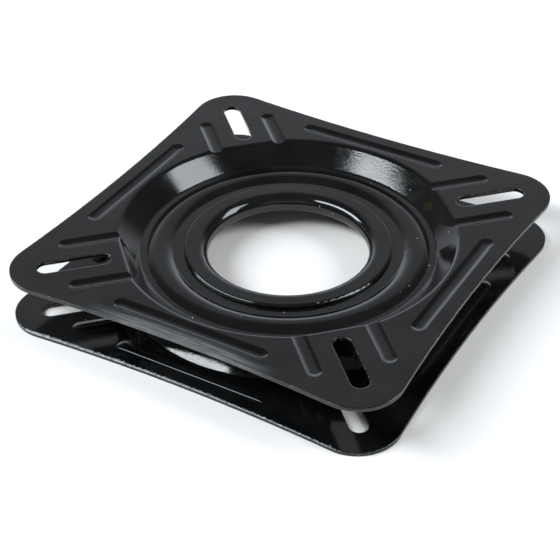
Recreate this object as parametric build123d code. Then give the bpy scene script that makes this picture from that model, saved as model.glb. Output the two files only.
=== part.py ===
"""Boat seat swivel: two pressed steel plates that turn on one row of caged balls.

Millimetres, +Z up along the swivel's axis, the lower plate standing on z = 0. X and Y run through
the mounting slots, so the plates' sides lie at 45 degrees to them. Each plate is described as it
lies on the ground: its mounting face is at z = 0 and its dish rises towards the balls.
"""
import os
from math import atan2, degrees, tan

from build123d import *

# Plates: square flanges with drawn-in sides and round corners
plate_width = 171.5
side_draw_in = 2.7
corner_radius = 17.7
sheet = 1.6
overall_height = 23.0

# Dish, measured inward from the middle of a side: flange, wall, shoulder, race, bare band, lip
flange_width = 13.05
wall_run = 8.8
shoulder_width = 2.7
race_width = 10.8
band_width = 4.7
lip_width = 9.6
floor_gap = 3.2
rim_bend = 3.0
foot_bend = 1.2
race_edge_bend = 1.0

# Flat facets where the dish meets the corners
facet_inset = 2.0
facet_foot_inset = 0.8

# Balls and their cage
ball_diameter = 6.35
ball_count = 24
ball_clearance = 0.1
cage_thickness = 1.6
cage_margin = 0.6
pocket_clearance = 0.25

# Collar and rolled lip
throat_bend = 3.0
lip_bend = 4.3
lip_edge_round = 1.0
lip_clearance = 0.3

# Mounting slots
slot_length = 30.0
slot_width = 7.5
slot_land = 3.2

# Ribs
rib_width = 6.0
rib_depth = 1.0
long_rib_length = 68.0
long_rib_land = 5.45
short_rib_land = 7.55
short_rib_length = 22.5

# Radii and heights that follow from the sizes above
half_width = plate_width / 2
middle_width = half_width - side_draw_in
corner_centre = half_width - corner_radius
rim_radius = middle_width - flange_width
wall_foot_radius = rim_radius - wall_run
facet_distance = rim_radius - facet_inset
facet_foot_distance = wall_foot_radius + facet_foot_inset
race_radius = wall_foot_radius - shoulder_width - race_width / 2
lip_radius = race_radius - race_width / 2 - band_width
throat_radius = lip_radius - lip_width
hole_radius = throat_radius + lip_bend
slot_centre_radius = rim_radius + slot_land + slot_length / 2
ball_height = overall_height / 2
floor_depth = ball_height - floor_gap / 2 - sheet
race_depth = ball_height - ball_diameter / 2 - ball_clearance - sheet
lip_height = overall_height - floor_depth + lip_clearance + sheet
rib_radius = (rib_width ** 2 / 4 + rib_depth ** 2) / (2 * rib_depth)

# The dish's seam is turned away from its facets and ribs
quarter_turns = PolarLocations(0, 4)
side_turn = Rot(0, 0, 45)
seam_turn = Rot(0, 0, 20)


def plate_outline():
    """Square with drawn-in sides: four corner arcs, each tangent to the long side arcs."""
    side_to_corner = middle_width - corner_centre
    side_radius = (corner_centre ** 2 + side_to_corner ** 2 - corner_radius ** 2) / (
        2 * (corner_radius - side_to_corner)
    )
    side_centre = middle_width + side_radius
    lean = degrees(atan2(corner_centre, side_centre - corner_centre))
    corner_arc = CenterArc((corner_centre, corner_centre), corner_radius, -lean, 90 + 2 * lean)
    side_arc = CenterArc((0, side_centre), side_radius, 270 - lean, 2 * lean)
    edges = [turn * arc for turn in quarter_turns for arc in (corner_arc, side_arc)]
    return side_turn * make_face(edges)


def round_corner(section, x, y, radius):
    """The section with its corner at x, y rounded."""
    corner = section.vertices().sort_by_distance(Vertex(x, y, 0))[0]
    return fillet(corner, radius)


def dish_section():
    """Half section of the space on a plate's mounting side, with the axis at x = 0."""
    race_outside = race_radius + race_width / 2
    race_inside = race_radius - race_width / 2
    lines = [
        Line((0, -plate_width), (plate_width, -plate_width)),
        Line((plate_width, -plate_width), (plate_width, 0)),
        Line((plate_width, 0), (rim_radius, 0)),
        Line((rim_radius, 0), (wall_foot_radius, floor_depth)),
        Line((wall_foot_radius, floor_depth), (race_outside, floor_depth)),
        ThreePointArc((race_outside, floor_depth), (race_radius, race_depth), (race_inside, floor_depth)),
        Line((race_inside, floor_depth), (0, floor_depth)),
        Line((0, floor_depth), (0, -plate_width)),
    ]
    section = make_face(lines)
    section = round_corner(section, rim_radius, 0, rim_bend)
    section = round_corner(section, wall_foot_radius, floor_depth, foot_bend)
    section = round_corner(section, race_outside, floor_depth, race_edge_bend)
    return round_corner(section, race_inside, floor_depth, race_edge_bend)


def facet_section():
    """Section, across a corner, of the space on the mounting side of a facet carried on past the floor."""
    slant = facet_distance - facet_foot_distance
    section = make_face(
        Polyline(
            (-plate_width, -plate_width),
            (plate_width, -plate_width),
            (plate_width, 0),
            (facet_distance, 0),
            (facet_distance - 2 * slant, 2 * floor_depth),
            (-plate_width, 2 * floor_depth),
            close=True,
        )
    )
    return round_corner(section, facet_distance, 0, rim_bend)


def within_mouth(section, corner, foot):
    """The part of a section inside the line where the rim's bend leaves the flange."""
    wall_angle = atan2(floor_depth, corner - foot)
    mouth = corner + rim_bend * tan(wall_angle / 2)
    return section & Pos(mouth - 2 * plate_width, 0) * Rectangle(4 * plate_width, 4 * plate_width)


def hollow(dish_face, facet_face, flange_level):
    """The space on a plate's mounting side: a round dish with a flat facet at each corner."""
    dish_face = within_mouth(dish_face, rim_radius, wall_foot_radius)
    facet_face = within_mouth(facet_face, facet_distance, facet_foot_distance)
    dish = seam_turn * revolve(Plane.XZ * dish_face, Axis.Z)
    facet = extrude(Plane.XZ * facet_face, plate_width, both=True)
    for turn in quarter_turns:
        dish &= turn * facet
    flange_side = Box(2 * plate_width, 2 * plate_width, plate_width)
    return dish + Pos(0, 0, flange_level - plate_width / 2) * flange_side


def capsule(start, end, radius):
    """A round bar along X with ball ends, centred on the two distances."""
    bar = Pos((start + end) / 2, 0, 0) * Rot(0, 90, 0) * Cylinder(radius, end - start)
    return bar + Pos(start, 0, 0) * Sphere(radius) + Pos(end, 0, 0) * Sphere(radius)


def ribs(radius):
    """Round bars that press the ribs: one long one to a side, two short ones to a corner."""
    lowered = Pos(0, 0, rib_depth - rib_radius)
    half_length = (long_rib_length - rib_width) / 2
    long_distance = middle_width - long_rib_land - rib_width / 2
    long_rib = lowered * Pos(0, long_distance, 0) * capsule(-half_length, half_length, radius)
    short_end = rim_radius + short_rib_length - rib_width / 2
    short_offset = slot_width / 2 + short_rib_land + rib_width / 2
    short_rib = lowered * Pos(0, short_offset, 0) * capsule(wall_foot_radius, short_end, radius)
    corner_pair = [short_rib, Pos(0, -2 * short_offset, 0) * short_rib]
    return [turn * bar for turn in quarter_turns for bar in [side_turn * long_rib] + corner_pair]


def pressing():
    """The plate both halves start from, lying on its mounting face, with a floor across its middle."""
    outside = hollow(dish_section(), facet_section(), 0)
    plate = hollow(offset(dish_section(), sheet), offset(facet_section(), sheet), sheet) - outside
    plate &= extrude(plate_outline(), overall_height)
    plate += [bar - outside for bar in ribs(rib_radius + sheet)]
    plate -= ribs(rib_radius)
    slot = Pos(slot_centre_radius, 0, 0) * extrude(SlotOverall(slot_length, slot_width), overall_height)
    return plate - [turn * slot for turn in quarter_turns]


def collar():
    """The lower plate's middle: drawn up through the hole and rolled outward into a lip."""
    line = FilletPolyline(
        (lip_radius, floor_depth),
        (throat_radius, floor_depth),
        (throat_radius, lip_height),
        (lip_radius, lip_height),
        radius=[throat_bend, lip_bend],
    )
    section = make_face(offset(line, sheet, side=Side.RIGHT, closed=True))
    section = round_corner(section, lip_radius, lip_height, lip_edge_round)
    return revolve(Plane.XZ * section, Axis.Z)


def top_plate():
    """The pressing turned over, with a hole that clears the collar's bend."""
    plate = pressing() - Cylinder(hole_radius, 2 * overall_height)
    return Pos(0, 0, overall_height) * Rot(180, 0, 0) * plate


def bottom_plate():
    """The pressing with its middle drawn up into the collar."""
    return pressing() - Cylinder(lip_radius, 2 * overall_height) + collar()


def ball_places():
    """Where the balls lie, evenly spaced round the race."""
    return [Pos(0, 0, ball_height) * place for place in PolarLocations(race_radius, ball_count)]


def ball_cage():
    """A flat ring between the races with a pocket round each ball."""
    half_ring = race_width / 2 - cage_margin
    ring = Cylinder(race_radius + half_ring, cage_thickness)
    ring -= Cylinder(race_radius - half_ring, cage_thickness)
    pocket = Cylinder(ball_diameter / 2 + pocket_clearance, 2 * cage_thickness)
    return Pos(0, 0, ball_height) * ring - [place * pocket for place in ball_places()]


nodes = {
    "top_plate": top_plate(),
    "bottom_plate": bottom_plate(),
    "ball_cage": ball_cage(),
}
for number, place in enumerate(ball_places(), start=1):
    nodes[f"ball_{number:02d}"] = place * Sphere(ball_diameter / 2)

os.makedirs("parts", exist_ok=True)
for name, shape in nodes.items():
    export_step(shape, f"parts/{name}.step")
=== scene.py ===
"""Boat seat swivel: finishes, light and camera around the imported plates, balls and cage.

Metres, in the part's own frame: +Z up along the swivel's axis, the slots on X and Y. Azimuths of
the lights are measured from the camera, positive to its right. A pair of limits is where a change
starts and where it ends.
"""
from math import cos, pi, radians, sin, sqrt

import bpy
from mathutils import Matrix, Quaternion, Vector

# Camera, as the photograph was taken
CAMERA_AZIMUTH = radians(-14.43)
CAMERA_ELEVATION = radians(36.64)
CAMERA_ROLL = radians(-0.66)
CAMERA_DISTANCE = 0.6185
CAMERA_RIGHT = -0.00329
CAMERA_UP = -0.0208
CAMERA_LENS = 97.0
SENSOR_WIDTH = 36.0
AIM_HEIGHT = 0.023

# Studio: tints, the least brightness, and a floor just under the lower plate's face
LAMP_TINT = (0.93, 1.0, 1.04)
BACK_TINT = (0.95, 1.0, 1.06, 1)
DARK_ROOM = 0.12
FLOOR_TINT = (0.87, 0.83, 0.81, 1)
FLOOR_ROUGHNESS = 0.8
FLOOR_REACH = 30.0
FLOOR_LEVEL = -0.00005

# Backdrop: full near the bearing behind the object and gone at its edge, with a dimmer one in front
BACKDROP_FULL = radians(22)
BACKDROP_EDGE = radians(46)
FRONT_SHARE = 0.5

# Sine of the elevation at the top of the pale horizon that runs all round
HORIZON_TOP = sin(radians(7))

# Brightness of the backdrop against the sine of the elevation, from the horizon to the zenith
BACKDROP = (
    (0.0, 0.9),
    (0.12, 1.2),
    (0.25, 1.4),
    (0.36, 0.8),
    (0.5, 0.5),
    (0.6, 0.44),
    (0.7, 0.46),
    (0.82, 0.13),
    (1.0, 0.1),
)

# Directions: up, out through the middle of the front-left side, and to the right along that side
UP = (0, 0, 1)
OUTWARD = (-sqrt(0.5), -sqrt(0.5), 0)
SIDEWAYS = (sqrt(0.5), -sqrt(0.5), 0)

# Plates: the middle of a side, the radius of its drawn-in arc, and a level just under the upper flange
SIDE_MIDDLE = 0.08305
SIDE_RADIUS = 0.8412
FLANGE_LEVEL = 0.0205
LEVEL_FADE = 0.001

# Painted reflection on the upper flange, a lighter streaked band along its front-left border: limits in from
# the outline, along the side from its middle, and up
BAND_INWARD = (0.003, 0.0052)
BAND_SIDEWAYS = (0.02, 0.042)
BAND_HEIGHT = (FLANGE_LEVEL, FLANGE_LEVEL + LEVEL_FADE)

# Length and width of the band's streaks, and its least and greatest strength
BAND_STREAKS = (0.02, 0.0006)
BAND_STRENGTH = (0.1, 1)

# Lighter band along the top of the lower plate's front-left edge: wider to the left, ragged, and between the
# cut edge and the ribs
PALE_EDGE_SIDEWAYS = (-0.07, 0.06)
PALE_EDGE_WIDTH = (0.0008, 0.0)
PALE_EDGE_RAGGED = (-0.0007, 0.0007)
PALE_EDGE_LIMIT = (0, 0.0003)
ABOVE_CUT = (0.0011, 0.0014)
BELOW_RIB = (0.0018, 0.002)

# Length and width of the lighter edge band's notches and gaps, and its least and greatest strength
PALE_EDGE_NOTCHES = (0.0006, 0.003)
PALE_EDGE_GAPS = (0.002, 0.001)
PALE_EDGE_STRENGTH = (0.2, 1)

# Painted highlight: a fine bright line on the outer flank of the lower plate's front-left rib
LINE_OUTWARD = 0.077
LINE_WIDTH = (0.00006, 0.00015)
LINE_STRENGTH = (0.8, 0)
LINE_SIDEWAYS = (0.031, 0.033)
LINE_HEIGHT = (0.003, 0.0035)

# Rubbed edges: how far the finish rounds them, and the cosine between true and rounded normals
EDGE_RADIUS = 0.0007
EDGE_SAMPLES = 8
EDGE_COSINE = (0.8, 0.97)

# Dust: cells to a metre, a speck's radius as a share of its cell, and which cells hold one
DUST_CELLS = 230.0
DUST_RADIUS = (0.045, 0.07)
DUST_CHOICE = (0.8, 0.82)
DUST_HEIGHT = (FLANGE_LEVEL - LEVEL_FADE, FLANGE_LEVEL)

# Stain on the right of the upper dish
STAIN_PLACE = (0.0638, 0.0078, 0.0176)
STAIN_RADIUS = (0.0012, 0.003)
STAIN_RAGGED = (-0.0008, 0.0008)

# Black coat
COAT_DEEP = (0.0022, 0.0023, 0.0025, 1)
COAT_THIN = (0.0055, 0.0057, 0.006, 1)
# Grey of the rubbed edges, also used for the painted reflection along the upper flange's front-left border
SCUFF_AND_REFLECTION_GREY = (0.16, 0.165, 0.17, 1)
# Grey of the lighter band on the lower plate's front-left edge, also used for the painted highlight line on
# its rib
PALE_EDGE_AND_HIGHLIGHT_GREY = (0.42, 0.45, 0.47, 1)
DUST_GREY = (0.42, 0.44, 0.45, 1)
STAIN_BROWN = (0.014, 0.0105, 0.003, 1)
COAT_ROUGHNESS = (0.05, 0.12)
SCUFF_AND_REFLECTION_ROUGHNESS = 0.4
PALE_EDGE_AND_HIGHLIGHT_ROUGHNESS = 0.3
DUST_ROUGHNESS = 0.8
COAT_IOR = 1.5
WAVE_DEPTH = 0.0003
PEEL_DEPTH = 0.0002

# Bearing steel, clean and under grease
STEEL_BRIGHT = (0.62, 0.62, 0.63, 1)
STEEL_GREASY = (0.42, 0.37, 0.27, 1)
STEEL_ROUGHNESS = (0.06, 0.28)
TRACK_DEPTH = 0.0001

# Cage plastic, dry and under grease
PLASTIC_DRY = (0.022, 0.022, 0.023, 1)
PLASTIC_GREASY = (0.012, 0.011, 0.009, 1)
PLASTIC_ROUGHNESS = (0.55, 0.25)
PLASTIC_IOR = 1.49
GRAIN_DEPTH = 0.0002

# Noise: the limits it mostly keeps to, and how strongly its finer lumps and streaks show
NOISE_SPAN = (0.3, 0.7)
LUMP_ROUGHNESS = 0.55
STREAK_ROUGHNESS = 0.6
STREAK_DETAIL = 3

# Numbers of a Mix node's sockets for the factor and two colours, and for the result
MIX_INPUTS = (0, 6, 7)
MIX_RESULT = 2


def new_material(name):
    """A new material with an empty node tree, and that tree."""
    material = bpy.data.materials.new(name)
    material.use_nodes = True
    material.node_tree.nodes.clear()
    return material, material.node_tree


def feed(tree, sockets, values):
    """Give each socket its value: another socket's result, or a fixed number, colour or vector."""
    for socket, value in zip(sockets, values):
        if isinstance(value, bpy.types.NodeSocket):
            tree.links.new(value, socket)
        else:
            socket.default_value = value


def add_node(tree, kind, **settings):
    """A node with its settings: properties by name, input sockets by their label with spaces as _."""
    node = tree.nodes.new(kind)
    for key, value in settings.items():
        label = key.replace("_", " ")
        if label in node.inputs:
            feed(tree, [node.inputs[label]], [value])
        else:
            setattr(node, key, value)
    return node


def finish_material(tree, shader):
    """Send the shader to the material's surface."""
    add_node(tree, "ShaderNodeOutputMaterial", Surface=shader.outputs["BSDF"])


def carry(tree, value, limits, results):
    """A value carried from a pair of limits to a pair of results, and held beyond them."""
    ramp = add_node(tree, "ShaderNodeMapRange", Value=value)
    ramp.inputs["From Min"].default_value, ramp.inputs["From Max"].default_value = limits
    ramp.inputs["To Min"].default_value, ramp.inputs["To Max"].default_value = results
    return ramp.outputs["Result"]


def fade_in(tree, value, limits):
    """0 before the limits and 1 past them."""
    return carry(tree, value, limits, (0, 1))


def fade_out(tree, value, limits):
    """1 before the limits and 0 past them."""
    return carry(tree, value, limits, (1, 0))


def combine(tree, operation, *values):
    """Values put together by a sum, product, maximum or the like."""
    node = add_node(tree, "ShaderNodeMath", operation=operation)
    feed(tree, node.inputs, values)
    return node.outputs["Value"]


def product(tree, *factors):
    """Several values multiplied together."""
    result = factors[0]
    for factor in factors[1:]:
        result = combine(tree, "MULTIPLY", result, factor)
    return result


def combine_vectors(tree, operation, *vectors):
    """The results of a product, a distance or the like of vectors."""
    node = add_node(tree, "ShaderNodeVectorMath", operation=operation)
    feed(tree, node.inputs, vectors)
    return node.outputs


def blend(tree, factor, first, second):
    """A colour between two, each a colour or the result of another blend."""
    mix = add_node(tree, "ShaderNodeMix", data_type="RGBA")
    feed(tree, [mix.inputs[number] for number in MIX_INPUTS], (factor, first, second))
    return mix.outputs[MIX_RESULT]


def bumps(tree, height, strength, depth, normal=None):
    """A normal tilted by a height."""
    bump = add_node(tree, "ShaderNodeBump", Height=height, Strength=strength, Distance=depth)
    if normal:
        tree.links.new(normal, bump.inputs["Normal"])
    return bump.outputs["Normal"]


def piece_place(tree):
    """Coordinates that stay with the piece."""
    return add_node(tree, "ShaderNodeTexCoord").outputs["Object"]


def noise(tree, lumps, detail):
    """Noise with so many lumps to a metre."""
    texture = add_node(tree, "ShaderNodeTexNoise", Scale=lumps, Detail=detail, Roughness=LUMP_ROUGHNESS)
    tree.links.new(piece_place(tree), texture.inputs["Vector"])
    return texture.outputs["Fac"]


def streaks(tree, sideways, inward, size):
    """Noise whose lumps have the given length along the side and width across it."""
    length, width = size
    place = add_node(
        tree,
        "ShaderNodeCombineXYZ",
        X=combine(tree, "DIVIDE", sideways, length),
        Y=combine(tree, "DIVIDE", inward, width),
    )
    texture = add_node(tree, "ShaderNodeTexNoise", Scale=1, Detail=STREAK_DETAIL, Roughness=STREAK_ROUGHNESS)
    tree.links.new(place.outputs["Vector"], texture.inputs["Vector"])
    return texture.outputs["Fac"]


def along(tree, direction):
    """How far a point lies in a direction from the part's origin."""
    return combine_vectors(tree, "DOT_PRODUCT", piece_place(tree), direction)["Value"]


def front_left_border(tree):
    """Distance in from the front-left side's outline, and the place along that side from its middle."""
    sideways = along(tree, SIDEWAYS)
    square = combine(tree, "MULTIPLY", sideways, sideways)
    outline = combine(tree, "MULTIPLY_ADD", square, 1 / (2 * SIDE_RADIUS), SIDE_MIDDLE)
    return combine(tree, "SUBTRACT", outline, along(tree, OUTWARD)), sideways


def painted_reflection_band(tree):
    """A painted reflection: a lighter streaked band along the upper plate's front-left border."""
    inward, sideways = front_left_border(tree)
    streaked = streaks(tree, sideways, inward, BAND_STREAKS)
    return product(
        tree,
        fade_out(tree, inward, BAND_INWARD),
        fade_out(tree, combine(tree, "ABSOLUTE", sideways), BAND_SIDEWAYS),
        carry(tree, streaked, limits=(0.35, 0.68), results=BAND_STRENGTH),
        fade_in(tree, along(tree, UP), BAND_HEIGHT),
    )


def pale_edge_band(tree):
    """A lighter grey band along the top of the lower plate's front-left edge, with a ragged limit, most of
    all at its left end.
    """
    inward, sideways = front_left_border(tree)
    ragged = carry(tree, streaks(tree, sideways, inward, PALE_EDGE_NOTCHES), NOISE_SPAN, PALE_EDGE_RAGGED)
    edge_band_width = carry(tree, sideways, PALE_EDGE_SIDEWAYS, PALE_EDGE_WIDTH)
    past_limit = combine(tree, "SUBTRACT", combine(tree, "ADD", inward, ragged), edge_band_width)
    broken = streaks(tree, sideways, inward, PALE_EDGE_GAPS)
    height = along(tree, UP)
    return product(
        tree,
        fade_out(tree, past_limit, PALE_EDGE_LIMIT),
        fade_in(tree, height, ABOVE_CUT),
        fade_out(tree, height, BELOW_RIB),
        carry(tree, broken, limits=(0.35, 0.6), results=PALE_EDGE_STRENGTH),
    )


def painted_highlight_line(tree):
    """A painted highlight: a fine bright line along the outer flank of the lower plate's front-left rib."""
    from_line = combine(tree, "SUBTRACT", along(tree, OUTWARD), LINE_OUTWARD)
    from_middle = along(tree, SIDEWAYS)
    return product(
        tree,
        carry(tree, combine(tree, "ABSOLUTE", from_line), LINE_WIDTH, LINE_STRENGTH),
        fade_out(tree, combine(tree, "ABSOLUTE", from_middle), LINE_SIDEWAYS),
        fade_out(tree, along(tree, UP), LINE_HEIGHT),
    )


def edge_wear(tree, rounded):
    """How far a point lies on a sharp edge, broken up as rubbed edges are."""
    true_normal = add_node(tree, "ShaderNodeNewGeometry").outputs["Normal"]
    cosine = combine_vectors(tree, "DOT_PRODUCT", rounded, true_normal)["Value"]
    rubbed = fade_in(tree, noise(tree, lumps=700, detail=4), limits=(0.52, 0.68))
    return product(tree, fade_out(tree, cosine, EDGE_COSINE), rubbed)


def dust(tree):
    """Scattered specks, about half a millimetre across, in the dish and on the lower plate."""
    cells = add_node(tree, "ShaderNodeTexVoronoi", Vector=piece_place(tree), Scale=DUST_CELLS)
    chance = add_node(tree, "ShaderNodeSeparateColor", Color=cells.outputs["Color"]).outputs["Red"]
    return product(
        tree,
        fade_out(tree, cells.outputs["Distance"], DUST_RADIUS),
        fade_in(tree, chance, DUST_CHOICE),
        fade_out(tree, along(tree, UP), DUST_HEIGHT),
    )


def stain(tree):
    """A faint brown patch on the right of the upper dish."""
    away = combine_vectors(tree, "DISTANCE", piece_place(tree), STAIN_PLACE)["Value"]
    ragged = carry(tree, noise(tree, lumps=600, detail=3), NOISE_SPAN, STAIN_RAGGED)
    return fade_out(tree, combine(tree, "ADD", away, ragged), STAIN_RADIUS)


def black_coat():
    """Gloss black stoved paint: slight waves, orange peel, uneven gloss, rubbed edges, a stain and dust,
    with a painted reflection on the upper flange's border, a painted highlight line on a lower rib and a
    lighter band on the lower plate's edge.
    """
    material, tree = new_material("black_coat")
    rounded = add_node(tree, "ShaderNodeBevel", samples=EDGE_SAMPLES, Radius=EDGE_RADIUS).outputs["Normal"]
    # Rubbed edges are joined with the painted reflection on the upper flange, and the lighter lower edge
    # band with the painted highlight line
    scuffs_and_painted_reflection = combine(tree, "MAXIMUM", edge_wear(tree, rounded), painted_reflection_band(tree))
    pale_edge_and_painted_highlight = combine(tree, "MAXIMUM", pale_edge_band(tree), painted_highlight_line(tree))
    thin = fade_in(tree, noise(tree, lumps=45, detail=3), limits=(0.35, 0.65))
    colour = blend(tree, thin, COAT_DEEP, COAT_THIN)
    colour = blend(tree, stain(tree), colour, STAIN_BROWN)
    rough = carry(tree, noise(tree, lumps=130, detail=4), NOISE_SPAN, COAT_ROUGHNESS)
    for mask, grey, roughness in (
        (scuffs_and_painted_reflection, SCUFF_AND_REFLECTION_GREY, SCUFF_AND_REFLECTION_ROUGHNESS),
        (pale_edge_and_painted_highlight, PALE_EDGE_AND_HIGHLIGHT_GREY, PALE_EDGE_AND_HIGHLIGHT_ROUGHNESS),
        (dust(tree), DUST_GREY, DUST_ROUGHNESS),
    ):
        colour = blend(tree, mask, colour, grey)
        rough = combine(tree, "MAXIMUM", rough, combine(tree, "MULTIPLY", mask, roughness))
    wavy = bumps(tree, noise(tree, lumps=40, detail=0), strength=1.0, depth=WAVE_DEPTH, normal=rounded)
    peel = bumps(tree, noise(tree, lumps=1500, detail=1), strength=0.08, depth=PEEL_DEPTH, normal=wavy)
    paint = add_node(
        tree, "ShaderNodeBsdfPrincipled", Base_Color=colour, Roughness=rough, Normal=peel, IOR=COAT_IOR
    )
    finish_material(tree, paint)
    return material


def ball_steel():
    """Bright bearing steel under a film of grease, with fine tracks."""
    material, tree = new_material("ball_steel")
    film = fade_in(tree, noise(tree, lumps=500, detail=3), limits=(0.35, 0.7))
    steel = add_node(
        tree,
        "ShaderNodeBsdfPrincipled",
        Base_Color=blend(tree, film, STEEL_BRIGHT, STEEL_GREASY),
        Roughness=carry(tree, noise(tree, lumps=900, detail=3), NOISE_SPAN, STEEL_ROUGHNESS),
        Normal=bumps(tree, noise(tree, lumps=6000, detail=2), strength=0.05, depth=TRACK_DEPTH),
        Metallic=1.0,
    )
    finish_material(tree, steel)
    return material


def cage_plastic():
    """Matte dark moulded plastic, shinier where grease lies on it."""
    material, tree = new_material("cage_plastic")
    grease = fade_in(tree, noise(tree, lumps=260, detail=3), limits=(0.4, 0.65))
    plastic = add_node(
        tree,
        "ShaderNodeBsdfPrincipled",
        Base_Color=blend(tree, grease, PLASTIC_DRY, PLASTIC_GREASY),
        Roughness=carry(tree, grease, limits=(0, 1), results=PLASTIC_ROUGHNESS),
        Normal=bumps(tree, noise(tree, lumps=2500, detail=2), strength=0.2, depth=GRAIN_DEPTH),
        IOR=PLASTIC_IOR,
    )
    finish_material(tree, plastic)
    return material


def dress(frame):
    """Give each node its finish: paint on the plates, plastic on the cage, steel on the balls."""
    coat, steel, plastic = black_coat(), ball_steel(), cage_plastic()
    finishes = {"top_plate": coat, "bottom_plate": coat, "ball_cage": plastic}
    for name, node in frame["nodes"].items():
        node.data.materials.clear()
        node.data.materials.append(finishes.get(name, steel))


def facing(azimuth, elevation):
    """Unit vector from the object: azimuth from the camera's side, positive to its right."""
    turn = CAMERA_AZIMUTH + azimuth
    return Vector((sin(turn) * cos(elevation), -cos(turn) * cos(elevation), sin(elevation)))


def add_softbox(name, azimuth, elevation, roll, distance, width, height, radiance):
    """A rectangular light that faces the object, rolled about its own middle, with angles in degrees."""
    direction = facing(radians(azimuth), radians(elevation))
    lamp = bpy.data.lights.new(name, "AREA")
    lamp.shape = "RECTANGLE"
    lamp.size = width
    lamp.size_y = height
    lamp.color = LAMP_TINT
    lamp.energy = radiance * width * height * pi
    holder = bpy.data.objects.new(name, lamp)
    holder.location = direction * distance
    holder.rotation_mode = "QUATERNION"
    holder.rotation_quaternion = (-direction).to_track_quat("-Z", "Y") @ Quaternion((0, 0, 1), radians(roll))
    bpy.context.scene.collection.objects.link(holder)


def shape_curve(mapping, points):
    """Bend a curve so that it runs straight from point to point."""
    mapping.use_clip = False
    curve = mapping.curves[0]
    # New points start in the middle and are put in their places below
    while len(curve.points) < len(points):
        curve.points.new(0.5, 0.5)
    for point, place in zip(curve.points, points):
        point.location = place
        point.handle_type = "VECTOR"
    mapping.update()


def add_world():
    """A dark studio: a bright backdrop behind the object, a dimmer one in front and a pale horizon."""
    world = bpy.data.worlds.new("studio")
    bpy.context.scene.world = world
    world.use_nodes = True
    tree = world.node_tree
    tree.nodes.clear()
    place = add_node(tree, "ShaderNodeTexCoord").outputs["Generated"]
    level = combine_vectors(tree, "MULTIPLY", place, (1, 1, 0))["Vector"]
    bearing = combine_vectors(tree, "NORMALIZE", level)["Vector"]
    behind = combine_vectors(tree, "DOT_PRODUCT", bearing, -facing(0, 0))["Value"]
    height = add_node(tree, "ShaderNodeSeparateXYZ", Vector=place).outputs["Z"]
    back = fade_in(tree, behind, (cos(BACKDROP_EDGE), cos(BACKDROP_FULL)))
    front = carry(tree, behind, (-cos(BACKDROP_EDGE), -cos(BACKDROP_FULL)), (0, FRONT_SHARE))
    horizon = fade_out(tree, height, (0, HORIZON_TOP))
    shown = combine(tree, "MAXIMUM", combine(tree, "MAXIMUM", back, front), horizon)
    glow = add_node(tree, "ShaderNodeFloatCurve", Value=height)
    shape_curve(glow.mapping, BACKDROP)
    bright = combine(tree, "MULTIPLY", glow.outputs["Value"], shown)
    strength = combine(tree, "MAXIMUM", bright, DARK_ROOM)
    light = add_node(tree, "ShaderNodeBackground", Color=BACK_TINT, Strength=strength)
    add_node(tree, "ShaderNodeOutputWorld", Surface=light.outputs["Background"])


def add_floor():
    """A plain pale floor."""
    mesh = bpy.data.meshes.new("floor")
    signs = ((-1, -1), (1, -1), (1, 1), (-1, 1))
    corners = [(x * FLOOR_REACH, y * FLOOR_REACH, FLOOR_LEVEL) for x, y in signs]
    mesh.from_pydata(corners, [], [(0, 1, 2, 3)])
    floor = bpy.data.objects.new("floor", mesh)
    bpy.context.scene.collection.objects.link(floor)
    material, tree = new_material("floor")
    paint = add_node(tree, "ShaderNodeBsdfPrincipled", Base_Color=FLOOR_TINT, Roughness=FLOOR_ROUGHNESS)
    finish_material(tree, paint)
    mesh.materials.append(material)


def add_camera():
    """The photograph's camera."""
    back = facing(0, CAMERA_ELEVATION)
    level_right = Vector((cos(CAMERA_AZIMUTH), sin(CAMERA_AZIMUTH), 0))
    level_up = back.cross(level_right)
    right = level_right * cos(CAMERA_ROLL) + level_up * sin(CAMERA_ROLL)
    up = level_up * cos(CAMERA_ROLL) - level_right * sin(CAMERA_ROLL)
    camera = bpy.data.cameras.new("camera")
    camera.lens = CAMERA_LENS
    camera.sensor_width = SENSOR_WIDTH
    holder = bpy.data.objects.new("camera", camera)
    place = back * CAMERA_DISTANCE + right * CAMERA_RIGHT + up * CAMERA_UP + Vector((0, 0, AIM_HEIGHT))
    axes = Matrix((right, up, back)).transposed().to_4x4()
    holder.matrix_world = Matrix.Translation(place) @ axes
    bpy.context.scene.collection.objects.link(holder)
    bpy.context.scene.camera = holder


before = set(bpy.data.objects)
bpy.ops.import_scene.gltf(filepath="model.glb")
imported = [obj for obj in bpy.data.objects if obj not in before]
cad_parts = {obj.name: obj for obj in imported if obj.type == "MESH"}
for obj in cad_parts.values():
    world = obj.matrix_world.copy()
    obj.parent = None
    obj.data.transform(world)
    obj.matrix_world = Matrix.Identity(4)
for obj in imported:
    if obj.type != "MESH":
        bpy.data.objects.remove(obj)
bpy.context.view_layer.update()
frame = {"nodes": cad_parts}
bpy.context.scene.view_settings.view_transform = "Standard"
dress(frame)
add_world()
add_softbox(
    "left_strip",
    azimuth=-84.5,
    elevation=40.5,
    roll=32.5,
    distance=1.2,
    width=1.32,
    height=0.34,
    radiance=16.0,
)
add_softbox(
    "right_softbox",
    azimuth=84,
    elevation=34,
    roll=0,
    distance=1.2,
    width=0.5,
    height=0.88,
    radiance=9.0,
)
add_floor()
add_camera()
